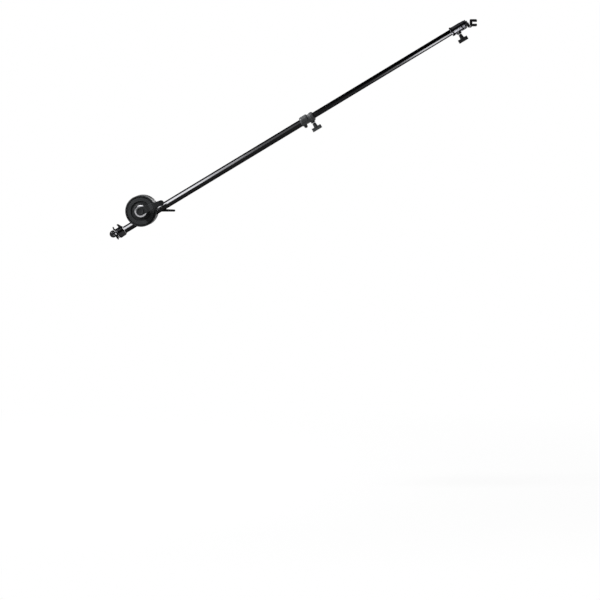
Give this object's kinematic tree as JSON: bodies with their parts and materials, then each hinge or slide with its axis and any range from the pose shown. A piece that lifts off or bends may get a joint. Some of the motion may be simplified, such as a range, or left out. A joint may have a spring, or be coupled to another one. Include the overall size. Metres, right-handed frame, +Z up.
{
  "type": "reflector holder arm",
  "caption": "Telescopic boom that holds a photographic reflector: a two-sided grip head clamps it to a light stand at any tilt, with a sliding fork clip at the butt and a hook jaw at the tip.",
  "frame": {"origin": "middle of the stand socket, on the riser's axis, level with the clamp stud", "axes": "+Z up along the stand riser, +X towards the tip of the boom, +Y towards the rear lever (the boom and its lever are on the -Y side)"},
  "size_m": [0.9689, 0.0917, 0.5814],
  "materials": {
    "grey_casting": "dark grey wrinkle paint on a casting",
    "dark_casting": "black wrinkle paint on a casting",
    "black_tube": "gloss black coating on drawn tube",
    "gloss_black": "glossy black moulding",
    "black_nylon": "satin black moulding",
    "grey_nylon": "satin mid-grey moulding",
    "pale_nylon": "pale grey moulding",
    "white_nylon": "natural nylon",
    "grey_pad": "soft grey pad",
    "black_rubber": "smooth black rubber",
    "friction_ring": "dark fibre washer",
    "chrome_ring": "bright plate",
    "bright_steel": "turned and zinc plated",
    "brass_nut": "machined"
  },
  "bodies": {
    "stand_clamp": {"stand_jaw_inner": "dark_casting", "stand_guide_pin": "bright_steel", "stand_jaw_spring": "bright_steel", "clamp_stud": "bright_steel", "friction_washer": "friction_ring"},
    "stand_outer_jaw": {"stand_jaw_outer": "dark_casting", "stand_lever_washer": "chrome_ring"},
    "stand_lever": {"stand_lever": "dark_casting", "stand_lever_nut": "brass_nut"},
    "boom_clamp": {"boom_jaw_inner": "dark_casting", "boom_guide_pin": "bright_steel", "boom_jaw_spring": "bright_steel"},
    "boom_outer_jaw": {"boom_jaw_outer": "grey_casting", "boom_lever_washer": "chrome_ring"},
    "boom_lever": {"boom_lever": "grey_casting", "boom_lever_nut": "brass_nut"},
    "outer_section": {"outer_tube": "black_tube", "butt_cap": "black_rubber", "first_collar": "grey_nylon", "first_collar_bush": "white_nylon", "first_collar_screw": "bright_steel"},
    "first_pad": {"first_lock_pad": "white_nylon"},
    "first_knob": {"first_lock_screw": "bright_steel", "first_lock_knob": "grey_nylon"},
    "middle_section": {"middle_tube": "black_tube", "middle_tail_bush": "white_nylon", "second_collar": "gloss_black", "second_collar_bush": "white_nylon"},
    "second_pad": {"second_lock_pad": "white_nylon"},
    "second_knob": {"second_lock_screw": "bright_steel", "second_lock_knob": "black_nylon"},
    "inner_section": {"inner_tube": "black_tube", "inner_tail_bush": "white_nylon", "hook_plug": "pale_nylon"},
    "hook": {"hook_arm": "gloss_black", "hook_pin": "bright_steel"},
    "hook_jaw": {"hook_jaw": "gloss_black", "hook_jaw_pads": "grey_pad"},
    "clip_bush": {"clip_bush": "pale_nylon"},
    "clip_fork": {"clip_fork": "gloss_black", "clip_liner": "grey_pad"}
  },
  "joints": [
    {"name": "stand_jaw_open", "type": "slide", "parent": "stand_clamp", "child": "stand_outer_jaw", "axis": [0, 1, 0], "range_m": [0, 0.0025]},
    {"name": "stand_lever_turn", "type": "hinge", "parent": "stand_outer_jaw", "child": "stand_lever", "pos_m": [-0.02, 0, 0], "axis": [0, 1, 0], "range_deg": [0, 600]},
    {"name": "boom_tilt", "type": "hinge", "parent": "stand_clamp", "child": "boom_clamp", "pos_m": [-0.02, 0, 0], "axis": [0, -1, 0], "continuous": true},
    {"name": "boom_jaw_open", "type": "slide", "parent": "boom_clamp", "child": "boom_outer_jaw", "axis": [0, -1, 0], "range_m": [0, 0.0025]},
    {"name": "boom_lever_turn", "type": "hinge", "parent": "boom_outer_jaw", "child": "boom_lever", "pos_m": [-0.02, 0, 0], "axis": [0, -1, 0], "range_deg": [0, 600]},
    {"name": "boom_slide", "type": "slide", "parent": "boom_clamp", "child": "outer_section", "axis": [0.8554, 0, 0.518], "range_m": [-0.43, 0]},
    {"name": "first_pad_lift", "type": "slide", "parent": "outer_section", "child": "first_pad", "axis": [0.518, 0, -0.8554], "range_m": [0, 0.0015]},
    {"name": "first_knob_turn", "type": "hinge", "parent": "first_pad", "child": "first_knob", "pos_m": [0.42745, -0.0306, 0.2476], "axis": [0.518, 0, -0.8554], "range_deg": [0, 540]},
    {"name": "middle_slide", "type": "slide", "parent": "outer_section", "child": "middle_section", "axis": [0.8554, 0, 0.518], "range_m": [-0.415, 0.08]},
    {"name": "second_pad_lift", "type": "slide", "parent": "middle_section", "child": "second_pad", "axis": [0.518, 0, -0.8554], "range_m": [0, 0.0015]},
    {"name": "second_knob_turn", "type": "hinge", "parent": "second_pad", "child": "second_knob", "pos_m": [0.81108, -0.0306, 0.47994], "axis": [0.518, 0, -0.8554], "range_deg": [0, 540]},
    {"name": "inner_slide", "type": "slide", "parent": "middle_section", "child": "inner_section", "axis": [0.8554, 0, 0.518], "range_m": [0, 0.5]},
    {"name": "hook_turn", "type": "hinge", "parent": "inner_section", "child": "hook", "pos_m": [0.83546, -0.0306, 0.4947], "axis": [0.8554, 0, 0.518], "continuous": true},
    {"name": "hook_jaw_tilt", "type": "hinge", "parent": "hook", "child": "hook_jaw", "pos_m": [0.84666, -0.0306, 0.48711], "axis": [0, 1, 0], "range_deg": [-8, 60]},
    {"name": "clip_slide", "type": "slide", "parent": "outer_section", "child": "clip_bush", "axis": [0.8554, 0, 0.518], "range_m": [0, 0.02]},
    {"name": "clip_turn", "type": "hinge", "parent": "clip_bush", "child": "clip_fork", "pos_m": [-0.07294, -0.0306, -0.05544], "axis": [0.8554, 0, 0.518], "continuous": true}
  ],
  "couplings": [
    {"joint": "stand_jaw_open", "follows": "stand_lever_turn", "m_per_rad": 0.00023873},
    {"joint": "boom_jaw_open", "follows": "boom_lever_turn", "m_per_rad": 0.00023873},
    {"joint": "first_pad_lift", "follows": "first_knob_turn", "m_per_rad": 0.00015915},
    {"joint": "second_pad_lift", "follows": "second_knob_turn", "m_per_rad": 0.00015915}
  ]
}
